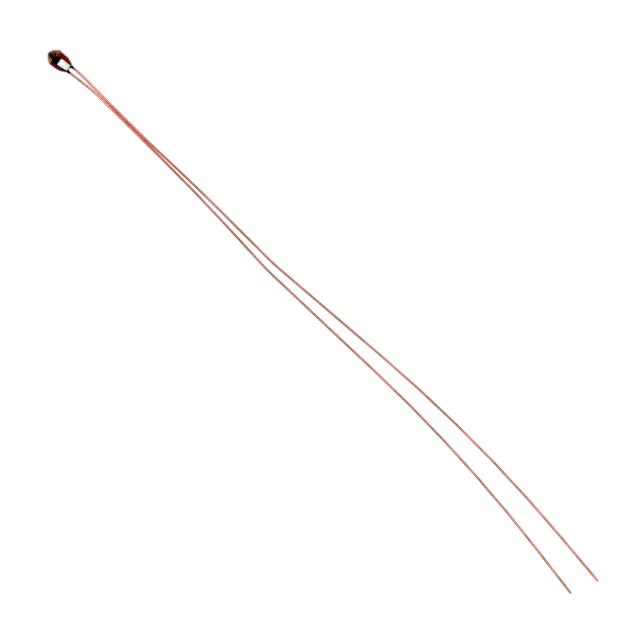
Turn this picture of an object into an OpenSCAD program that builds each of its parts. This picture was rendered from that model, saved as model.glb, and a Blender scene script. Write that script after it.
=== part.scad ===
/* [Glass bead] */
// Diameter of the glass at its widest section
bead_d = 1.8; // [1.6:0.05:2.2]
// Length of the rounded nose, from the widest section to the tip
nose_len = 1; // [0.9:0.02:1.6]
// How pointed the nose is: half an ellipse at 0.5, more pointed above it
nose_power = 0.77; // [0.5:0.01:0.85]
// Length of the narrowing tail, from the widest section to where its end rounds over
tail_len = 1.52; // [1.4:0.02:2.2]
// Rounding at the end of the tail
tail_round = 0.08; // [0.04:0.01:0.1]
// Glass outside each lead where the tail ends
seal_side = 0.07; // [0.05:0.005:0.12]
// Glass above and below the leads where the tail ends
seal_cover = 0.4; // [0.3:0.01:0.5]
// Length of the meniscus that climbs each lead from the end of the tail
collar_len = 0.34; // [0.2:0.02:0.6]
// Glass around a lead at the foot of its meniscus
collar_foot = 0.06; // [0.03:0.005:0.1]
// Glass around a lead at the tip of its meniscus
collar_tip = 0.012; // [0.006:0.002:0.02]
// Angle of the bead's axis to the run of the leads, seen from above
bead_yaw = 7; // [0:0.5:12]
// Angle that the bead is rolled about its axis, which lifts the upper lead
bead_roll = 5; // [0:1:20]

/* [Chip and contacts] */
// Side of the square chip
chip_side = 0.92; // [0.86:0.02:1]
// Thickness of the chip between its two contacts
chip_t = 0.3; // [0.26:0.02:0.44]
// Glass between the tip of the nose and the chip
chip_cover = 0.4; // [0.34:0.01:0.5]
// Distance of the chip's middle from the bead's axis, towards the upper lead
chip_offset = -0.05; // [-0.08:0.01:0.08]
// Thickness of the gold on each face of the chip
film_t = 0.02; // [0.01:0.005:0.04]
// Length of the gold on the upper face, from the front of the chip
upper_gold = 0.6; // [0.48:0.02:0.64]
// Length of the gold on the lower face, from the front of the chip
lower_gold = 0.44; // [0.36:0.02:0.64]
// Thickness of the gold sleeve around the end of each lead
sleeve_t = 0.04; // [0.03:0.005:0.06]
// Length of each of the sleeve's tapered ends
sleeve_taper = 0.06; // [0.03:0.01:0.07]

/* [Leads] */
// Diameter of the wire
wire_d = 0.24; // [0.15:0.01:0.3]
// Distance from the front of the chip to the end of the upper lead
upper_start = 0.22; // [0.1:0.02:0.3]
// Distance from the front of the chip to the end of the lower lead
lower_start = 0.12; // [0.08:0.02:0.2]
// Distance of the upper lead below the middle of the chip's face
upper_sink = 0.28; // [0:0.02:0.28]
// Distance of the lower lead below the middle of the chip's face
lower_sink = 0.16; // [0:0.02:0.28]
// Distance between the leads' axes where they leave the glass
exit_pitch = 0.58; // [0.46:0.02:0.64]
// Straight length of lead between the chip and its first bend in the glass
joggle_start = 0.15; // [0.1:0.05:0.2]
// Length of lead between its second bend and the end of the tail
joggle_end = 0.15; // [0.1:0.05:0.2]
// Clear space between the leads where they run side by side
pair_clearance = 0.01; // [0.01:0.005:0.2]
// Distance from the bead's widest section to the upper lead's first bend outside it
upper_first_bend = 2.5; // [2.5:0.1:3.5]
// Distance from the bead's widest section to the lower lead's first bend outside it
lower_first_bend = 4.7; // [3.5:0.1:4.8]
// Where the upper lead is cut, measured along X
upper_cut = 72.5; // [67:0.1:80]
// Where the lower lead is cut, measured along X
lower_cut = 71.5; // [67:0.1:80]

/* [Run of the pair] */
// Where the leads come together, as the middle of the pair
pair_close = [7, 0.44]; // [0:0.005:80]
// Where they come down to the surface
pair_touch = [11.9, 0.465]; // [0:0.005:80]
// Where they start to spread
pair_belly = [18.3, 0.59]; // [0:0.005:80]
// Where both have a small kink
pair_kink = [28.8, 0.385]; // [0:0.005:80]
// Corner that their long arch rounds off
pair_arch = [54.7, 1.795]; // [0:0.005:80]
// A point that the straight ends run towards
pair_end = [72, -0.055]; // [-1:0.005:80]
// Distance between the leads' axes where they start to spread
belly_spread = 0.42; // [0.36:0.01:0.8]
// Distance between them at the kink
kink_spread = 0.86; // [0.8:0.01:1.4]
// Distance between them at the corner of the arch
arch_spread = 2.1; // [1.5:0.01:2.5]
// Distance between them at the ends
end_spread = 2.78; // [2:0.01:4]

/* [Bend radii] */
// Bends in the glass
joggle_r = 1.5; // [1:0.1:2]
// First bend outside the glass
first_r = 10; // [6:1:12]
// Where the leads come together and come down to the surface
settle_r = 18; // [8:1:22]
// Slow bend where they start to spread
belly_r = 200; // [100:10:220]
// The kink
kink_r = 20; // [10:1:40]
// The long arch
arch_r = 150; // [100:5:180]

/* [Hidden] */
$fn = 64;
eps = 0.01;
bead_r = bead_d / 2;
wire_r = wire_d / 2;
sleeve_r = wire_r + sleeve_t;
chip_front = chip_cover - nose_len;
chip_back = chip_front + chip_side;
bond_pitch = chip_t + 2 * film_t + wire_d;
side_by_side = wire_d + pair_clearance;
tail_w = exit_pitch + wire_d + 2 * seal_side;
tail_h = wire_d + 2 * seal_cover;
// Rings along the drop and corners around each ring
nose_rings = 14;
tail_rings = 16;
round_rings = 4;
// How far the rounding at the end of the tail turns
end_angle = 80;
ring_sides = 40;
// Steps in a full turn of a bend
arc_steps = 720;
// A bend is this much fuller than the wire, so that the straight runs end inside it
bend_swell = 0.001;
run_lap = 0.02;
// Height of a lead's axis where it lies on the surface
lead_z = wire_r + bend_swell;

// The bead's own frame: X along its axis towards the leads, origin at the middle of its widest section
module in_bead() {
    translate([0, 0, bead_r])
        rotate([bead_roll, 0, bead_yaw])
            children();
}

function from_bead(x, y, z) =
    let (
        across = y * cos(bead_roll) - z * sin(bead_roll),
        up = y * sin(bead_roll) + z * cos(bead_roll)
    ) [
        x * cos(bead_yaw) - across * sin(bead_yaw),
        x * sin(bead_yaw) + across * cos(bead_yaw),
        bead_r + up
    ];

// Half-size of the drop at x: a rounded nose, an elliptical taper to end_r, and a rounded end
function drop_half(x, end_r) =
    x < 0 ? bead_r * pow(1 - pow(x / nose_len, 2), nose_power)
    : x < tail_len ? sqrt(pow(bead_r, 2) - (pow(bead_r, 2) - pow(end_r, 2)) * pow(x / tail_len, 2))
    : end_r - tail_round + sqrt(pow(tail_round, 2) - pow(x - tail_len, 2));

function drop_ring(x) = [
    for (i = [0 : ring_sides - 1])
        let (a = 360 * i / ring_sides)
            [x, drop_half(x, tail_w / 2) * cos(a), drop_half(x, tail_h / 2) * sin(a)]
];

// Ring places, closer together towards the tip, where the glass curves most
drop_stations = concat(
    [for (i = [1 : nose_rings]) -nose_len * cos(90 * i / nose_rings)],
    [for (i = [1 : tail_rings]) tail_len * sin(90 * i / tail_rings)],
    [for (i = [1 : round_rings]) tail_len + tail_round * sin(end_angle * i / round_rings)]
);

module glass_drop() {
    rings = len(drop_stations);
    tip = rings * ring_sides;
    points = concat([for (x = drop_stations) each drop_ring(x)], [[-nose_len, 0, 0]]);
    walls = [
        for (r = [0 : rings - 2], i = [0 : ring_sides - 1])
            let (
                j = (i + 1) % ring_sides,
                a = r * ring_sides + i,
                b = r * ring_sides + j,
                c = b + ring_sides,
                d = a + ring_sides
            )
                each [[a, c, b], [a, d, c]]
    ];
    nose = [for (i = [0 : ring_sides - 1]) [tip, i, (i + 1) % ring_sides]];
    tail = [[for (i = [1 : ring_sides]) rings * ring_sides - i]];
    polyhedron(points, concat(walls, nose, tail));
}

// Glass that climbs one lead: its outline is an arc that is tangent to the wire at its tip
module collar() {
    root = joggle_end / 2;
    foot_r = wire_r + collar_foot;
    tip_r = wire_r + collar_tip;
    flare = foot_r - tip_r;
    arc_r = (pow(flare, 2) + pow(collar_len, 2)) / (2 * flare);
    translate([tail_len, 0, 0])
        rotate([0, 90, 0]) {
            rotate_extrude()
                difference() {
                    square([foot_r, collar_len]);
                    translate([tip_r + arc_r, collar_len])
                        circle(r = arc_r, $fn = arc_steps);
                }
            translate([0, 0, -root])
                cylinder(r = foot_r, h = root + eps);
        }
}

module glass_bead() {
    color("honeydew", 0.4)
        difference() {
            in_bead() {
                glass_drop();
                for (side = [-1, 1])
                    translate([0, side * exit_pitch / 2, 0])
                        collar();
            }
            chip_block();
            for (side = [-1, 1]) {
                gold_blank(side);
                wire(lead_route(side), lead_bends);
            }
        }
}

module chip_block() {
    in_bead()
        translate([chip_front, chip_offset - chip_t / 2, -chip_side / 2])
            cube([chip_side, chip_t, chip_side]);
}

module ceramic_chip() {
    color("dimgray")
        chip_block();
}

// Gold around the end of a lead along Z: a blunt front, a round stretch and a tapered back
module sleeve(length) {
    cylinder(r1 = sleeve_r / 2, r2 = sleeve_r, h = sleeve_taper);
    translate([0, 0, sleeve_taper])
        cylinder(r = sleeve_r, h = length);
    translate([0, 0, sleeve_taper + length])
        cylinder(r1 = sleeve_r, r2 = (sleeve_r + wire_r) / 2, h = sleeve_taper);
}

// Gold on the front of one face of the chip, with a sleeve that the end of the lead is bonded into
module gold_blank(side) {
    gold = side > 0 ? upper_gold : lower_gold;
    start = side > 0 ? upper_start : lower_start;
    sink = side > 0 ? upper_sink : lower_sink;
    in_bead()
        translate([chip_front, chip_offset + side * chip_t / 2, 0])
            mirror([0, side < 0 ? 1 : 0, 0]) {
                translate([0, 0, -chip_side / 2])
                    cube([gold, film_t, chip_side]);
                intersection() {
                    translate([start - sleeve_taper, film_t + wire_r, -sink])
                        rotate([0, 90, 0])
                            sleeve(gold - start - sleeve_taper / 2);
                    translate([0, 0, -chip_side / 2])
                        cube([chip_side, film_t + wire_r + sleeve_r + eps, chip_side]);
                }
            }
}

module contact_gold(side) {
    difference() {
        gold_blank(side);
        wire(lead_route(side), lead_bends);
    }
}

module contact_upper() {
    color("goldenrod")
        contact_gold(1);
}

module contact_lower() {
    color("goldenrod")
        contact_gold(-1);
}

// Corners of one lead's route, from its end on the chip to its cut end
function lead_route(side) =
    let (
        arch = beside(pair_arch, arch_spread, side),
        end = beside(pair_end, end_spread, side),
        cut = side > 0 ? upper_cut : lower_cut,
        first = side > 0 ? upper_first_bend : lower_first_bend,
        start = side > 0 ? upper_start : lower_start,
        sink = side > 0 ? upper_sink : lower_sink,
        bond_y = chip_offset + side * bond_pitch / 2,
        exit_y = side * exit_pitch / 2
    ) [
        from_bead(chip_front + start, bond_y, -sink),
        from_bead(chip_back + joggle_start, bond_y, -sink),
        from_bead(tail_len - joggle_end, exit_y, 0),
        from_bead(first, exit_y, 0),
        beside(pair_close, side_by_side, side) + [0, 0, (bead_r - lead_z) / 2],
        beside(pair_touch, side_by_side, side),
        beside(pair_belly, belly_spread, side),
        beside(pair_kink, kink_spread, side),
        arch,
        arch + (end - arch) * (cut - arch.x) / (end.x - arch.x)
    ];

lead_bends = [0, joggle_r, joggle_r, first_r, settle_r, settle_r, belly_r, kink_r, arch_r, 0];

// A point on the surface beside the middle of the pair
function beside(middle, spread, side) = [middle.x, middle.y + side * spread / 2, lead_z];

function unit(v) = v / norm(v);

function heading(route, i) = unit(route[i + 1] - route[i]);

function turn(route, i) = acos(heading(route, i - 1) * heading(route, i));

// Distance from a corner to where its bend starts and ends
function reach(route, bends, i) = bends[i] > 0 ? bends[i] * tan(turn(route, i) / 2) : 0;

module straight(route, bends, i) {
    u = heading(route, i);
    near = reach(route, bends, i) - (bends[i] > 0 ? run_lap : 0);
    far = reach(route, bends, i + 1) - (bends[i + 1] > 0 ? run_lap : 0);
    translate(route[i] + near * u)
        rotate([0, acos(u.z), atan2(u.y, u.x)])
            cylinder(r = wire_r, h = norm(route[i + 1] - route[i]) - near - far);
}

module bend(route, bends, i) {
    u = heading(route, i - 1);
    n = unit(cross(u, heading(route, i)));
    out = cross(u, n);
    translate(route[i] - reach(route, bends, i) * u)
        multmatrix([
            [out.x, u.x, n.x, 0],
            [out.y, u.y, n.y, 0],
            [out.z, u.z, n.z, 0],
            [0, 0, 0, 1]
        ])
            translate([-bends[i], 0, 0])
                rotate_extrude(angle = turn(route, i), $fn = arc_steps)
                    translate([bends[i], 0])
                        circle(r = wire_r + bend_swell, $fn = ring_sides);
}

// A round wire along a route, with each inner corner bent to its own radius
module wire(route, bends) {
    for (i = [0 : len(route) - 2])
        straight(route, bends, i);
    for (i = [1 : len(route) - 2])
        bend(route, bends, i);
}

module lead_upper() {
    color("peru")
        wire(lead_route(1), lead_bends);
}

module lead_lower() {
    color("peru")
        wire(lead_route(-1), lead_bends);
}

glass_bead();
ceramic_chip();
contact_upper();
contact_lower();
lead_upper();
lead_lower();
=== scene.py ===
import bmesh
import bpy
import math
from mathutils import Matrix, Vector, noise


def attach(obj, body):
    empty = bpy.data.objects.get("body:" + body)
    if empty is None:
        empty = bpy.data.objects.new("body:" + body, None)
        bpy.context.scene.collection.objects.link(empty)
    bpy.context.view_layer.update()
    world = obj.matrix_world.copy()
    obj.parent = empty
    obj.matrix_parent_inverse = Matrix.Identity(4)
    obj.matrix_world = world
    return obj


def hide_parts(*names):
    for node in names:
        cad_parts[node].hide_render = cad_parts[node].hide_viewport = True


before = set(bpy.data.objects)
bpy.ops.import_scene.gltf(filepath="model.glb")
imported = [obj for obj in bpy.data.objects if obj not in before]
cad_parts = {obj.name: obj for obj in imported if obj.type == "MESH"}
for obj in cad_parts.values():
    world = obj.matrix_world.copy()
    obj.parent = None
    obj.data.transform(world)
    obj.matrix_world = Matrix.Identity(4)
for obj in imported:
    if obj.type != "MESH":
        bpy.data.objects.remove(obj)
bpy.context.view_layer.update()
scene = bpy.context.scene
mm = 0.001
white = (1, 1, 1, 1)
print("frame:", ", ".join(sorted(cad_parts)))


# Small helpers
def smooth(value):                      # eases in and out between 0 and 1
    value = min(1, max(0, value))
    return value * value * (3 - 2 * value)


def sideName(own):
    return "Upper" if own["side"] > 0 else "Lower"


def addPiece(name, bm, finishes):
    mesh = bpy.data.meshes.new(name)
    bm.to_mesh(mesh)
    bm.free()
    for finish in finishes:
        mesh.materials.append(finish)
    piece = bpy.data.objects.new(name, mesh)
    scene.collection.objects.link(piece)
    return piece


def ringEdges(bm, ring):
    return [bm.edges.get((a, b)) for a, b in zip(ring, ring[1:] + ring[:1])]


def pushRing(bm, ring):                 # extrudes a closed ring and keeps the order of its points
    made = bmesh.ops.extrude_edge_only(bm, edges=ringEdges(bm, ring))["geom"]
    fresh = {v for v in made if isinstance(v, bmesh.types.BMVert)}
    return [next(e.other_vert(v) for e in v.link_edges if e.other_vert(v) in fresh) for v in ring]


def newFinish(name):
    finish = bpy.data.materials.new(name)
    finish.use_nodes = True
    return finish, finish.node_tree, finish.node_tree.nodes["Principled BSDF"]


def addNode(tree, kind, settings=None, **sockets):
    node = tree.nodes.new(kind)
    for key, value in (settings or {}).items():
        setattr(node, key, value)
    for key, value in sockets.items():
        node.inputs[key].default_value = value
    return node


def objectNoise(tree, scale, stretch=(1, 1, 1), detail=3, roughness=0.5):
    coords = addNode(tree, "ShaderNodeTexCoord")
    mapping = addNode(tree, "ShaderNodeMapping", Scale=stretch)
    grain = addNode(tree, "ShaderNodeTexNoise", Scale=scale, Detail=detail, Roughness=roughness)
    tree.links.new(coords.outputs["Object"], mapping.inputs["Vector"])
    tree.links.new(mapping.outputs["Vector"], grain.inputs["Vector"])
    return grain.outputs["Fac"]


def rampOf(tree, source, places, colours):              # two colours, at two places of the source
    ramp = addNode(tree, "ShaderNodeValToRGB")
    for element, place, colour in zip(ramp.color_ramp.elements, places, colours):
        element.position = place
        element.color = (*colour, 1)
    tree.links.new(source, ramp.inputs["Fac"])
    return ramp.outputs["Color"]


def rangeOf(tree, source, low, high, newLow=0, newHigh=1):
    spread = addNode(tree, "ShaderNodeMapRange", {"interpolation_type": "SMOOTHSTEP"})
    ends = {"From Min": low, "From Max": high, "To Min": newLow, "To Max": newHigh}
    for key, value in ends.items():
        spread.inputs[key].default_value = value
    tree.links.new(source, spread.inputs["Value"])
    return spread.outputs["Result"]


def mixOf(tree, share, first, second):
    mixed = addNode(tree, "ShaderNodeMix", {"data_type": "RGBA"})
    tree.links.new(share, mixed.inputs["Factor"])
    colours = [socket for socket in mixed.inputs if socket.type == "RGBA"]
    for socket, source in zip(colours, (first, second)):
        if isinstance(source, tuple):
            socket.default_value = (*source, 1)
        else:
            tree.links.new(source, socket)
    return next(socket for socket in mixed.outputs if socket.type == "RGBA")


def bumpOf(tree, source, shader, height, strength):
    bump = addNode(tree, "ShaderNodeBump", Strength=strength, Distance=height)
    tree.links.new(source, bump.inputs["Height"])
    tree.links.new(bump.outputs["Normal"], shader.inputs["Normal"])


# The bead's own frame: X along its axis, middle of the widest section at the origin
beadSet = {
    "yaw": 7,
    "roll": 5,
    "radius": 0.9 * mm,
    "noseLen": 1.0 * mm,
    "nosePower": 0.77,        # 0.5 is an ellipse, more is more pointed
    "tailLen": 1.52 * mm,
    "tailHalfWidth": 0.48 * mm,
    "tailHalfHeight": 0.52 * mm,
    "exitPitch": 0.58 * mm,   # between the leads where they leave the glass
    "sides": 64,
    "noseRings": 18,
    "tailRings": 18,
    "seamPoints": 15,         # across the web of glass between the leads
    "seamBulge": 0.06 * mm,
    "neckBefore": 0.2 * mm,   # stretch of glass that is smoothed, either side of the tail's end
    "neckAfter": 0.16 * mm,
    "neckPasses": 3,
    "neckPull": 0.5,
    "collarEnd": 1.86 * mm,
    "collarFoot": 0.18 * mm,
    "collarTip": 0.132 * mm,
    "collarRings": 8,
    "collarSettle": 2.5,      # a collar is round after its length divided by this
    "dive": 0.11 * mm,        # radius of the last ring, which closes inside the wire
    "diveStep": 0.004 * mm,
    "skinLevels": 1,
}
yawTurn = Matrix.Rotation(math.radians(beadSet["yaw"]), 4, "Z")
rollTurn = Matrix.Rotation(math.radians(beadSet["roll"]), 4, "X")
beadPlace = Matrix.Translation((0, 0, beadSet["radius"])) @ yawTurn @ rollTurn
beadAxis = yawTurn @ Vector((1, 0, 0))


def dropHalf(x, endHalf):
    s = beadSet
    if x < 0:
        return s["radius"] * (1 - (x / s["noseLen"]) ** 2) ** s["nosePower"]
    shrink = s["radius"] ** 2 - endHalf ** 2
    return math.sqrt(s["radius"] ** 2 - shrink * (x / s["tailLen"]) ** 2)


def dropPoint(x, turn):
    wide = dropHalf(x, beadSet["tailHalfWidth"])
    high = dropHalf(x, beadSet["tailHalfHeight"])
    return Vector((x, wide * math.cos(turn), high * math.sin(turn)))


def dropStations():                     # rings stand closer towards the nose and the tail's end
    s = beadSet
    right = math.pi / 2
    nose = [math.cos(right * i / s["noseRings"]) for i in range(1, s["noseRings"] + 1)]
    tail = [math.sin(right * i / s["tailRings"]) for i in range(1, s["tailRings"] + 1)]
    return [-s["noseLen"] * share for share in nose] + [s["tailLen"] * share for share in tail]


def makeBead(finish):
    s = beadSet
    turns = [2 * math.pi * i / s["sides"] for i in range(s["sides"])]
    bm = bmesh.new()
    fan = bmesh.ops.create_circle(bm, cap_ends=True, cap_tris=True,
                                  segments=s["sides"], radius=s["radius"])
    pole = max(fan["verts"], key=lambda v: len(v.link_edges))
    pole.co = (-s["noseLen"], 0, 0)
    ring = [v for v in fan["verts"] if v is not pole]
    ring.sort(key=lambda v: math.atan2(v.co.y, v.co.x) % (2 * math.pi))
    for k, x in enumerate(dropStations()):
        ring = pushRing(bm, ring) if k else ring
        for v, turn in zip(ring, turns):
            v.co = dropPoint(x, turn)
    for side, loop in partTail(bm, ring):
        drawCollar(bm, loop, side)
    bmesh.ops.recalc_face_normals(bm, faces=bm.faces)
    neckLow = s["tailLen"] - s["neckBefore"]
    neckHigh = s["tailLen"] + s["neckAfter"]
    neck = [v for v in bm.verts if neckLow < v.co.x < neckHigh]
    for _ in range(s["neckPasses"]):
        bmesh.ops.smooth_vert(bm, verts=neck, factor=s["neckPull"],
                              use_axis_x=True, use_axis_y=True, use_axis_z=True)
    bm.transform(beadPlace)
    for face in bm.faces:
        face.smooth = True
    bead = addPiece("beadGlass", bm, [finish])
    skin = bead.modifiers.new("skin", "SUBSURF")
    skin.levels = skin.render_levels = s["skinLevels"]
    return bead


def partTail(bm, ring):                 # a seam across the open tail makes one loop for each lead
    s = beadSet
    quarter = s["sides"] // 4
    top, bottom = ring[quarter], ring[3 * quarter]
    seam = []
    for i in range(1, s["seamPoints"] + 1):
        lean = math.pi * i / (s["seamPoints"] + 1)
        bulge = s["seamBulge"] * math.sin(lean)
        seam.append(bm.verts.new((s["tailLen"] + bulge, 0, s["tailHalfHeight"] * math.cos(lean))))
    for a, b in zip([top] + seam, seam + [bottom]):
        bm.edges.new((a, b))
    outerPlus = ring[3 * quarter:] + ring[:quarter + 1]
    outerMinus = ring[quarter:3 * quarter + 1]
    return (1, outerPlus + seam), (-1, outerMinus + seam[::-1])


def drawCollar(bm, loop, side):         # the glass climbs the wire in a concave arc
    s = beadSet
    outer = s["sides"] // 2
    inner = len(loop) - outer
    first = -math.pi / 2 if side > 0 else math.pi / 2
    turns = [first + math.pi * i / outer for i in range(outer + 1)]
    turns += [first + math.pi + math.pi * i / inner for i in range(1, inner)]
    base = [v.co.copy() for v in loop]
    flare = s["collarFoot"] - s["collarTip"]
    length = s["collarEnd"] - s["tailLen"]
    arcR = (flare ** 2 + length ** 2) / (2 * flare)
    middle = side * s["exitPitch"] / 2

    def around(x, radius, turn):
        return Vector((x, middle + radius * math.cos(turn), radius * math.sin(turn)))

    for k in range(1, s["collarRings"] + 1):
        share = k / s["collarRings"]
        x = s["tailLen"] + length * share
        radius = s["collarTip"] + arcR - math.sqrt(arcR ** 2 - (s["collarEnd"] - x) ** 2)
        settle = smooth(share * s["collarSettle"])
        loop = pushRing(bm, loop)
        for v, turn, foot in zip(loop, turns, base):
            start = Vector((max(x, foot.x), foot.y, foot.z))
            v.co = start.lerp(around(x, radius, turn), settle)
    loop = pushRing(bm, loop)
    for v, turn in zip(loop, turns):
        v.co = around(s["collarEnd"] + s["diveStep"], s["dive"], turn)
    bmesh.ops.contextual_create(bm, geom=ringEdges(bm, loop))


glassSet = {
    "tint": (0.83, 0.93, 0.825),
    "ior": 1.68,
    "reflects": (0.25, 0.25, 0.25),     # little of the table shows in its rim
    "flow": {"scale": 1400, "stretch": (0.4, 1, 1), "detail": 2},
    "bump": (0.004 * mm, 0.5),          # height and strength, here and in the other finishes
}


def clearGlass():
    s = glassSet
    finish, tree, shader = newFinish("clearGlass")
    shader.inputs["Base Color"].default_value = (*s["tint"], 1)
    shader.inputs["Transmission Weight"].default_value = 1
    shader.inputs["IOR"].default_value = s["ior"]
    shader.inputs["Specular Tint"].default_value = (*s["reflects"], 1)
    shader.inputs["Roughness"].default_value = 0
    bumpOf(tree, objectNoise(tree, **s["flow"]), shader, *s["bump"])
    return finish


# The black chip, diced from a fired wafer
chipSet = {
    "front": -0.6 * mm,
    "side": 0.92 * mm,
    "thick": 0.3 * mm,
    "aside": -0.05 * mm,      # it sits a little to one side of the bead's axis
    "edge": 0.018 * mm,
    "edgeSteps": 3,
    "cuts": 10,
    "unevenness": 0.004 * mm,
    "unevenPitch": 9,         # waves to the millimetre
    "grain": {"scale": 42000, "detail": 4, "roughness": 0.65},
    "grainStops": (0.35, 0.7),
    "black": [(0.002, 0.002, 0.0025), (0.012, 0.011, 0.011)],
    "grainSpan": (0.3, 0.7),  # the part of the grain that the roughness follows
    "rough": (0.5, 0.75),
    "shine": 0.05,            # the glass wets it, so it hardly shines
    "bump": (0.006 * mm, 0.5),
}


def makeChip(finish):
    s = chipSet
    bm = bmesh.new()
    bmesh.ops.create_cube(bm, size=1)
    bmesh.ops.scale(bm, vec=(s["side"], s["thick"], s["side"]), verts=bm.verts)
    bmesh.ops.bevel(bm, geom=bm.edges[:], offset=s["edge"], offset_type="OFFSET", affect="EDGES",
                    segments=s["edgeSteps"], profile=0.5, material=-1, clamp_overlap=True)
    long = [e for e in bm.edges if e.calc_length() > s["thick"] / 2]
    bmesh.ops.subdivide_edges(bm, edges=long, cuts=s["cuts"], use_grid_fill=True)
    for v in bm.verts:
        wave = noise.noise(v.co / mm * s["unevenPitch"])
        v.co *= 1 - s["unevenness"] / s["side"] * (1 + wave)
    bmesh.ops.translate(bm, vec=(s["front"] + s["side"] / 2, s["aside"], 0), verts=bm.verts)
    bmesh.ops.triangulate(bm, faces=[f for f in bm.faces if len(f.verts) > 4])
    bmesh.ops.recalc_face_normals(bm, faces=bm.faces)
    bm.transform(beadPlace)
    return addPiece("sensingChip", bm, [finish])


def blackCeramic():
    s = chipSet
    finish, tree, shader = newFinish("blackCeramic")
    grain = objectNoise(tree, **s["grain"])
    colour = rampOf(tree, grain, s["grainStops"], s["black"])
    rough = rangeOf(tree, grain, *s["grainSpan"], *s["rough"])
    tree.links.new(colour, shader.inputs["Base Color"])
    tree.links.new(rough, shader.inputs["Roughness"])
    shader.inputs["Specular IOR Level"].default_value = s["shine"]
    bumpOf(tree, grain, shader, *s["bump"])
    return finish


# Gold paste fired onto the front of each face, heaped over the end of the lead
goldSet = {
    "film": 0.02 * mm,
    "wireR": 0.12 * mm,
    "heapR": 0.16 * mm,
    "heapSpread": 0.17 * mm,
    "heapPower": 4,           # 2 is a soft mound, more has a flatter top and steeper sides
    "rise": 0.06 * mm,        # length over which the heap rises in front of the lead's end
    "settle": 0.1 * mm,       # and over which it thins onto the lead at its back
    "backLip": 0.012 * mm,    # thickness of its back edge on the lead
    "inset": 0.012 * mm,      # from the chip's edges
    "corner": 0.1 * mm,       # how far the back corners are rounded off
    "cornerPower": 4,
    "ripple": 0.006 * mm,
    "ripplePitch": 11,        # waves to the millimetre
    "along": 36,
    "across": 44,
    "grain": {"scale": 12000, "detail": 3},
    "grainStops": (0.2, 0.8),
    "grainSpan": (0.3, 0.7),
    "rough": (0.55, 0.3),
    "bump": (0.004 * mm, 0.4),
    "goldUpper": {
        "node": "contact_upper",
        "side": 1,
        "start": 0.22 * mm,
        "length": 0.6 * mm,
        "sink": 0.28 * mm,
        # much darker than the lower contact's paste: painted shade, over the same fired gold
        "pasteAndShade": [(0.11, 0.034, 0.003), (0.24, 0.094, 0.012)],
        "metal": 0.25,
    },
    "goldLower": {
        "node": "contact_lower",
        "side": -1,
        "start": 0.12 * mm,
        "length": 0.44 * mm,
        "sink": 0.16 * mm,
        "pasteAndShade": [(0.27, 0.135, 0.024), (0.56, 0.35, 0.08)],
        "metal": 0.8,
    },
}


def makeGold(name, finish):
    s = goldSet
    own = s[name]
    face = chipSet["thick"] / 2
    half = chipSet["side"] / 2 - s["inset"]
    backR = s["wireR"] + s["backLip"]
    bm = bmesh.new()
    bmesh.ops.create_grid(bm, x_segments=s["along"], y_segments=s["across"], size=1)
    for v in bm.verts:
        u, w = (v.co.x + 1) / 2, v.co.y
        back = own["length"] - s["corner"] * abs(w) ** s["cornerPower"]
        x = s["inset"] + u * (back - s["inset"])
        z = w * half
        swell = smooth((x - own["start"] + s["rise"]) / s["rise"])
        thin = smooth((own["length"] - x) / s["settle"])
        roundR = backR + (s["heapR"] - backR) * thin
        offside = z + own["sink"]
        mound = math.exp(-(offside / s["heapSpread"]) ** s["heapPower"])
        heap = (s["wireR"] + roundR) * mound * swell
        wave = noise.noise(Vector((x, z, own["side"] * mm)) / mm * s["ripplePitch"])
        v.co = (chipSet["front"] + x, face + s["film"] + heap + s["ripple"] * wave, z)
    rim = [e for e in bm.edges if e.is_boundary]
    made = bmesh.ops.extrude_edge_only(bm, edges=rim)["geom"]
    skirt = [v for v in made if isinstance(v, bmesh.types.BMVert)]
    for v in skirt:
        v.co.y = face - s["film"] / 2   # the underside is sunk into the chip
    bmesh.ops.contextual_create(bm, geom=[e for e in bm.edges if e.is_boundary])
    if own["side"] < 0:
        bmesh.ops.scale(bm, vec=(1, -1, 1), verts=bm.verts)
    bmesh.ops.translate(bm, vec=(0, chipSet["aside"], 0), verts=bm.verts)
    bmesh.ops.recalc_face_normals(bm, faces=bm.faces)
    bm.transform(beadPlace)
    for f in bm.faces:
        f.smooth = len(f.verts) == 4    # all but the underside
    return addPiece(name, bm, [finish])


def firedGold(own):
    s = goldSet
    finish, tree, shader = newFinish("firedGold" + sideName(own))
    grain = objectNoise(tree, **s["grain"])
    # gold colour, which on the upper contact holds painted shade
    colour = rampOf(tree, grain, s["grainStops"], own["pasteAndShade"])
    rough = rangeOf(tree, grain, *s["grainSpan"], *s["rough"])
    tree.links.new(colour, shader.inputs["Base Color"])
    tree.links.new(rough, shader.inputs["Roughness"])
    shader.inputs["Metallic"].default_value = own["metal"]
    shader.inputs["Specular IOR Level"].default_value = 0
    bumpOf(tree, grain, shader, *s["bump"])
    return finish


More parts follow.
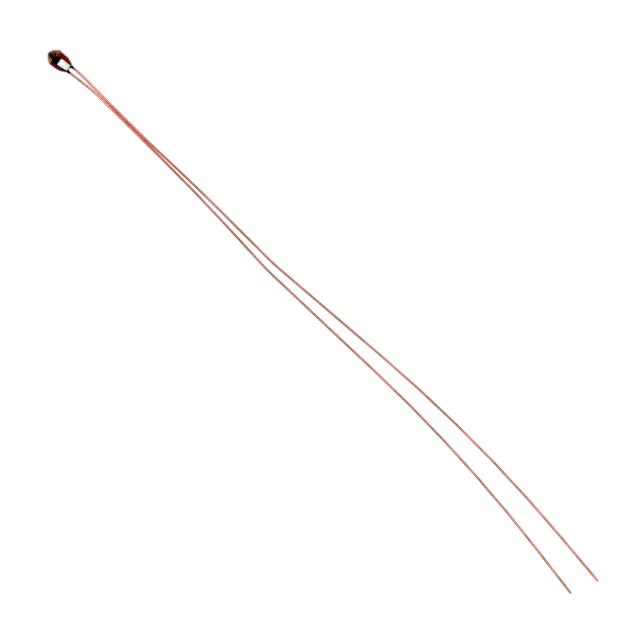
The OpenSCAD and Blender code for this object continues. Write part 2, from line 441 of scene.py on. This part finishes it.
# The two leads follow the same corners as the solids
leadSet = {
    "wireR": 0.12 * mm,
    "surface": 0.121 * mm,    # height of the axis where a lead lies down
    "sides": 24,
    "bendStep": 2.0,          # degrees of bend between rings
    "leastSteps": 2,          # rings in the slightest bend
    "coreShare": 0.84,        # nickel-iron core inside the copper
    # corners, radii and the leads' own lengths are in millimetres
    "inGlass": [(0.47, 0.29), (1.37, 0.29)],            # along the bead's axis, and aside
    "pair": [(7, 0.44), (11.9, 0.465), (18.3, 0.59), (28.8, 0.385), (54.7, 1.795), (72, -0.055)],
    "spread": [0.25, 0.25, 0.42, 0.86, 2.1, 2.78],      # between the leads at those corners
    "radii": [1.5, 1.5, 10, 18, 18, 200, 20, 150],      # of every bend from the joggle to the arch
    "leadUpper": {
        "node": "lead_upper",
        "side": 1,
        "start": -0.38,
        "sink": 0.28,
        "firstBend": 2.5,
        "cut": 72.5,
        "oxideAndShade": [(0.20, 0.0012, 0.002), (0.33, 0.0035, 0.0045)],
        "scorchFrom": (1.25 * mm, 1.5 * mm),
        "greySpots": [],
    },
    "leadLower": {
        "node": "lead_lower",
        "side": -1,
        "start": -0.48,
        "sink": 0.16,
        "firstBend": 4.7,
        "cut": 71.5,
        # darker and more purple than the upper lead's oxide, and scorched from nearer the chip:
        # painted shade of the bead's darker flank, over the same oxide
        "oxideAndShade": [(0.12, 0.003, 0.02), (0.20, 0.008, 0.048)],
        "scorchFrom": (0.4 * mm, 1.1 * mm),
        # grey spots on the lower lead: the one at its cut end is painted shade of the cut end, the
        # one near the bead a bluish grey speck
        "greySpots": [((3.0, 0.077, 0.875), 0.28 * mm), ((71.5, -1.38, 0.121), 0.36 * mm)],
    },
}


def leadCorners(own):
    s = leadSet
    side = own["side"]
    nearChip, nearExit = s["inGlass"]
    inBead = [(own["start"], nearChip[1]), nearChip, nearExit, (own["firstBend"], nearExit[1])]
    corners = [Vector((x, side * y, 0)) * mm for x, y in inBead]
    for corner in corners[:2]:          # the stretch that lies on the chip
        corner += Vector((0, chipSet["aside"], -own["sink"] * mm))
    corners = [beadPlace @ corner for corner in corners]
    for (x, y), spread in zip(s["pair"], s["spread"]):
        corners.append(Vector((x * mm, (y + side * spread / 2) * mm, s["surface"])))
    corners[len(inBead)].z = (beadSet["radius"] + s["surface"]) / 2     # half way down
    arch, end = corners[-2:]
    corners[-1] = arch.lerp(end, (own["cut"] * mm - arch.x) / (end.x - arch.x))
    return corners


def makeLead(name, finishes):
    s = leadSet
    corners = leadCorners(s[name])
    headings = [(b - a).normalized() for a, b in zip(corners, corners[1:])]
    bm = bmesh.new()
    aim = headings[0].to_track_quat("Z", "Y").to_matrix().to_4x4()
    place = Matrix.Translation(corners[0]) @ aim
    circle = bmesh.ops.create_circle(bm, segments=s["sides"], radius=s["wireR"], matrix=place)
    firstRing = list(circle["verts"])
    ring = firstRing
    at = corners[0].copy()
    for i, radius in enumerate([r * mm for r in s["radii"]], start=1):
        before, after = headings[i - 1], headings[i]
        turn = before.angle(after)
        run = corners[i] - before * radius * math.tan(turn / 2) - at
        ring = pushRing(bm, ring)
        bmesh.ops.translate(bm, verts=ring, vec=run)
        at += run
        axis = before.cross(after).normalized()
        centre = at + axis.cross(before) * radius
        steps = max(s["leastSteps"], math.ceil(math.degrees(turn) / s["bendStep"]))
        stepTurn = Matrix.Rotation(turn / steps, 3, axis)
        for _ in range(steps):
            ring = pushRing(bm, ring)
            bmesh.ops.rotate(bm, verts=ring, cent=centre, matrix=stepTurn)
        at = corners[i] + after * radius * math.tan(turn / 2)
    ring = pushRing(bm, ring)
    bmesh.ops.translate(bm, verts=ring, vec=corners[-1] - at)
    for face in bm.faces:
        face.smooth = True
    for rim in (firstRing, ring):       # the cut ends show the core in its copper
        edges = ringEdges(bm, rim)
        cap = bmesh.ops.contextual_create(bm, geom=edges)["faces"]
        bmesh.ops.inset_region(bm, faces=cap, thickness=s["wireR"] * (1 - s["coreShare"]))
        cap[0].material_index = 1
        for edge in edges:
            edge.smooth = False
    bmesh.ops.recalc_face_normals(bm, faces=bm.faces)
    return addPiece(name, bm, finishes)


copperSet = {
    "streaks": {"scale": 9000, "stretch": (0.02, 1, 1), "detail": 4},   # drawing marks
    "streakStops": (0.3, 0.7),
    "patches": {"scale": 420, "stretch": (1, 0.2, 1), "detail": 2},
    "patchStops": (0.38, 0.62),
    "blotches": {"scale": 900, "detail": 3},
    "blotchStops": (0.35, 0.65),
    "pale": [(0.365, 0.155, 0.115), (0.475, 0.225, 0.178)],     # annealed by the heat of the seal
    "fresh": [(0.36, 0.10, 0.06), (0.47, 0.16, 0.11)],
    "dull": [(0.265, 0.13, 0.078), (0.39, 0.16, 0.148)],        # brown and pinkish patches
    # the grey of those spots: painted shade at the lower lead's cut end, and a bluish grey speck
    # near the bead
    "spotGrey": (0.16, 0.175, 0.195),
    "spotShare": 0.8,
    "scorched": (0.075, 0.016, 0.019),
    # stretches along the bead's axis over which one look gives way to the next
    "scorchTo": (1.65 * mm, 2.2 * mm),
    "shineFrom": (1.7 * mm, 2.2 * mm),
    "reddens": (4 * mm, 8 * mm),
    "dulls": (10 * mm, 21 * mm),
    "metal": 0.8,
    "rough": (0.36, 0.52),
    "bump": (0.002 * mm, 0.5),
}


def copperCladding(own):
    s = copperSet
    finish, tree, shader = newFinish("copperCladding" + sideName(own))
    streaks = objectNoise(tree, **s["streaks"])
    patches = objectNoise(tree, **s["patches"])
    blotches = objectNoise(tree, **s["blotches"])
    pale = rampOf(tree, streaks, s["streakStops"], s["pale"])
    fresh = rampOf(tree, streaks, s["streakStops"], s["fresh"])
    dull = rampOf(tree, patches, s["patchStops"], s["dull"])
    # oxide colour inside the glass, which on the lower lead holds painted shade
    oxideAndShade = rampOf(tree, blotches, s["blotchStops"], own["oxideAndShade"])
    coords = addNode(tree, "ShaderNodeTexCoord")
    along = addNode(tree, "ShaderNodeVectorMath", {"operation": "DOT_PRODUCT"})
    along.inputs[1].default_value = beadAxis
    tree.links.new(coords.outputs["Object"], along.inputs[0])
    place = along.outputs["Value"]
    bare = mixOf(tree, rangeOf(tree, place, *s["reddens"]), pale, fresh)
    bare = mixOf(tree, rangeOf(tree, place, *s["dulls"]), bare, dull)
    # grey spots laid over the copper, among them painted shade at the lower lead's cut end
    for spot, reach in own["greySpots"]:
        away = addNode(tree, "ShaderNodeVectorMath", {"operation": "DISTANCE"})
        away.inputs[1].default_value = Vector(spot) * mm
        tree.links.new(coords.outputs["Object"], away.inputs[0])
        share = rangeOf(tree, away.outputs["Value"], reach / 2, reach, s["spotShare"], 0)
        bare = mixOf(tree, share, bare, s["spotGrey"])
    inside = mixOf(tree, rangeOf(tree, place, *own["scorchFrom"]), oxideAndShade, s["scorched"])
    colour = mixOf(tree, rangeOf(tree, place, *s["scorchTo"]), inside, bare)
    metal = rangeOf(tree, place, *s["shineFrom"], 0, s["metal"])
    rough = rangeOf(tree, streaks, *s["streakStops"], *s["rough"])
    tree.links.new(colour, shader.inputs["Base Color"])
    tree.links.new(metal, shader.inputs["Metallic"])
    tree.links.new(rough, shader.inputs["Roughness"])
    shader.inputs["Specular IOR Level"].default_value = 0
    bumpOf(tree, streaks, shader, *s["bump"])
    return finish


coreSet = {
    "shear": {"scale": 30000, "stretch": (1, 0.15, 1), "detail": 3},    # marks of the cutter
    "shearStops": (0.3, 0.7),
    "grey": [(0.30, 0.29, 0.28), (0.55, 0.54, 0.52)],
    "rough": 0.4,
    "bump": (0.003 * mm, 0.6),
}


def nickelCore():
    s = coreSet
    finish, tree, shader = newFinish("nickelCore")
    shear = objectNoise(tree, **s["shear"])
    colour = rampOf(tree, shear, s["shearStops"], s["grey"])
    tree.links.new(colour, shader.inputs["Base Color"])
    shader.inputs["Metallic"].default_value = 1
    shader.inputs["Roughness"].default_value = s["rough"]
    bumpOf(tree, shear, shader, *s["bump"])
    return finish


# Camera straight above, turned so that the leads run from upper left to lower right
cameraSet = {
    "viewWidth": 61.70 * mm,
    "middle": (35.73 * mm, 0.15 * mm, 0),
    "turn": 45,
    "lens": 600,
    "sensor": 36,
    "clipNear": 0.001,
    "clipFar": 10,
}


def makeCamera():
    s = cameraSet
    lens = bpy.data.cameras.new("camera")
    lens.lens = s["lens"]
    lens.sensor_width = s["sensor"]
    lens.clip_start = s["clipNear"]
    lens.clip_end = s["clipFar"]
    camera = bpy.data.objects.new("camera", lens)
    height = s["viewWidth"] * s["lens"] / s["sensor"]
    camera.location = Vector(s["middle"]) + Vector((0, 0, height))
    camera.rotation_euler = (0, 0, math.radians(s["turn"]))
    scene.collection.objects.link(camera)
    scene.camera = camera


# White table and soft light
stageSet = {
    "floorSize": 6.0,
    "floorDrop": 0.004 * mm,
    "floorColour": (0.15, 0.15, 0.15),
    "floorRough": 0.9,
    "floorShine": 0.1,
    "floorGlow": 0.85,        # most of its white is glow, so shadows stay faint
    "skyLow": 0.85,
    "skyHigh": 0.7,
    "keyHeading": 7,          # the key light stands over the leads, and shines in the clear glass
    "keyRise": 65,
    "keyAway": 0.6,
    "keySize": 0.22,
    "keyPower": 5.0,
    "blackLevel": 0.045,
}


def makeFloor():
    s = stageSet
    bm = bmesh.new()
    bmesh.ops.create_grid(bm, x_segments=1, y_segments=1, size=s["floorSize"] / 2)
    bmesh.ops.translate(bm, verts=bm.verts, vec=(0, 0, -s["floorDrop"]))
    finish, _, shader = newFinish("whiteTable")
    shader.inputs["Base Color"].default_value = (*s["floorColour"], 1)
    shader.inputs["Roughness"].default_value = s["floorRough"]
    shader.inputs["Specular IOR Level"].default_value = s["floorShine"]
    shader.inputs["Emission Color"].default_value = white
    shader.inputs["Emission Strength"].default_value = s["floorGlow"]
    floor = addPiece("floor", bm, [finish])


def makeSky():                          # an even sky, a little darker overhead
    s = stageSet
    world = bpy.data.worlds.new("studio")
    world.use_nodes = True
    tree = world.node_tree
    sky = tree.nodes["Background"]
    coords = addNode(tree, "ShaderNodeTexCoord")
    split = addNode(tree, "ShaderNodeSeparateXYZ")
    tree.links.new(coords.outputs["Generated"], split.inputs["Vector"])
    fall = rangeOf(tree, split.outputs["Z"], 0, 1, s["skyLow"], s["skyHigh"])
    tree.links.new(fall, sky.inputs["Strength"])
    sky.inputs["Color"].default_value = white
    scene.world = world


def makeKeyLight():
    s = stageSet
    heading, rise = math.radians(s["keyHeading"]), math.radians(s["keyRise"])
    level = Vector((math.cos(heading), math.sin(heading), 0))
    aim = level * math.cos(rise) + Vector((0, 0, math.sin(rise)))
    lamp = bpy.data.lights.new("keyLight", "AREA")
    lamp.size = s["keySize"]
    lamp.energy = s["keyPower"]
    key = bpy.data.objects.new("keyLight", lamp)
    key.location = aim * s["keyAway"]
    key.rotation_euler = aim.to_track_quat("Z", "Y").to_euler()
    key.visible_transmission = False    # the glass shows it only as a highlight
    scene.collection.objects.link(key)


def deepenBlacks():
    view = scene.view_settings
    view.view_transform = "Standard"
    view.use_curve_mapping = True
    view.curve_mapping.black_level = [stageSet["blackLevel"]] * 3
    view.curve_mapping.update()


makeCamera()
makeFloor()
makeSky()
makeKeyLight()
deepenBlacks()
print("camera and stage made")

bead = makeBead(clearGlass())
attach(bead, "root")
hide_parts("glass_bead")
print("bead made")

core = nickelCore()
for name in ("leadUpper", "leadLower"):
    lead = makeLead(name, [copperCladding(leadSet[name]), core])
    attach(lead, "root")
    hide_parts(leadSet[name]["node"])
print("leads made")

chip = makeChip(blackCeramic())
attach(chip, "root")
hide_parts("ceramic_chip")
for name in ("goldUpper", "goldLower"):
    contact = makeGold(name, firedGold(goldSet[name]))
    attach(contact, "root")
    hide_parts(goldSet[name]["node"])
print("chip and contacts made")
